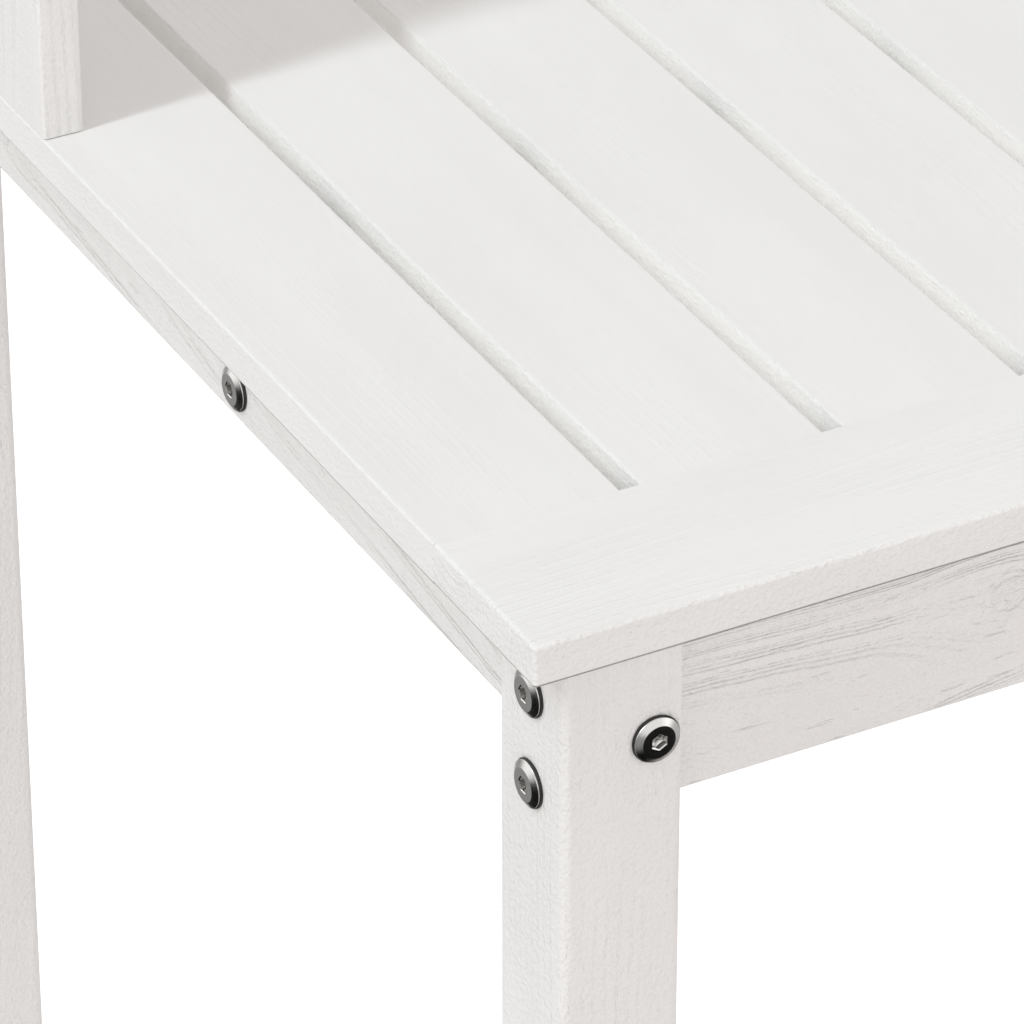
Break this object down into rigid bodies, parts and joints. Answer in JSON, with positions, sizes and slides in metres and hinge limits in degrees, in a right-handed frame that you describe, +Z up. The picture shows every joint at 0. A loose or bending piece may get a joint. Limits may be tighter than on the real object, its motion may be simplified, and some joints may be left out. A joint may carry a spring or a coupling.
{
  "type": "potting bench",
  "caption": "White-painted pine potting bench: slatted worktop on square legs, slatted lower shelf, and a rack with an upper shelf along the back.",
  "frame": {"origin": "on the floor, under the middle of the bench", "axes": "+Z up; the front, where the user stands, faces -Y; +X is the user's right-hand side"},
  "size_m": [1.08, 0.6, 1.095],
  "materials": {
    "painted_pine": "satin white paint over pine, the grain showing through as low relief",
    "bolt_steel": "turned, zinc-plated",
    "black_washer": "black ring under each bolt head, shown in the visual model"
  },
  "bodies": {
    "root": {"leg_front_left": "painted_pine", "leg_front_right": "painted_pine", "leg_back_left": "painted_pine", "leg_back_right": "painted_pine", "top_rail_front": "painted_pine", "top_rail_back": "painted_pine", "top_rail_left": "painted_pine", "top_rail_right": "painted_pine", "top_rail_middle": "painted_pine", "seam_batten": "painted_pine", "worktop_front_board": "painted_pine", "worktop_slat_01": "painted_pine", "worktop_slat_02": "painted_pine", "worktop_slat_03": "painted_pine", "worktop_slat_04": "painted_pine", "worktop_slat_05": "painted_pine", "worktop_slat_06": "painted_pine", "worktop_slat_07": "painted_pine", "worktop_slat_08": "painted_pine", "worktop_slat_09": "painted_pine", "worktop_slat_10": "painted_pine", "worktop_slat_11": "painted_pine", "worktop_slat_12": "painted_pine", "worktop_slat_13": "painted_pine", "worktop_slat_14": "painted_pine", "lower_rail_left": "painted_pine", "lower_rail_right": "painted_pine", "lower_shelf_board_1": "painted_pine", "lower_shelf_board_2": "painted_pine", "lower_shelf_board_3": "painted_pine", "lower_shelf_board_4": "painted_pine", "lower_shelf_batten": "painted_pine", "rack_post_left_front": "painted_pine", "rack_post_left_back": "painted_pine", "rack_post_right_front": "painted_pine", "rack_post_right_back": "painted_pine", "rack_cleat_left": "painted_pine", "rack_cleat_right": "painted_pine", "rack_back_rail": "painted_pine", "upper_shelf_board_1": "painted_pine", "upper_shelf_board_2": "painted_pine", "upper_shelf_board_3": "painted_pine", "bolt_front_rail_left_upper": "bolt_steel", "bolt_front_rail_left_lower": "bolt_steel", "bolt_front_rail_right_upper": "bolt_steel", "bolt_front_rail_right_lower": "bolt_steel", "bolt_back_rail_left_upper": "bolt_steel", "bolt_back_rail_left_lower": "bolt_steel", "bolt_back_rail_right_upper": "bolt_steel", "bolt_back_rail_right_lower": "bolt_steel", "bolt_side_rail_left_front": "bolt_steel", "bolt_side_rail_left_back": "bolt_steel", "bolt_side_rail_right_front": "bolt_steel", "bolt_side_rail_right_back": "bolt_steel", "bolt_middle_rail_left_upper": "bolt_steel", "bolt_middle_rail_left_lower": "bolt_steel", "bolt_middle_rail_right_upper": "bolt_steel", "bolt_middle_rail_right_lower": "bolt_steel"}
  },
  "joints": []
}
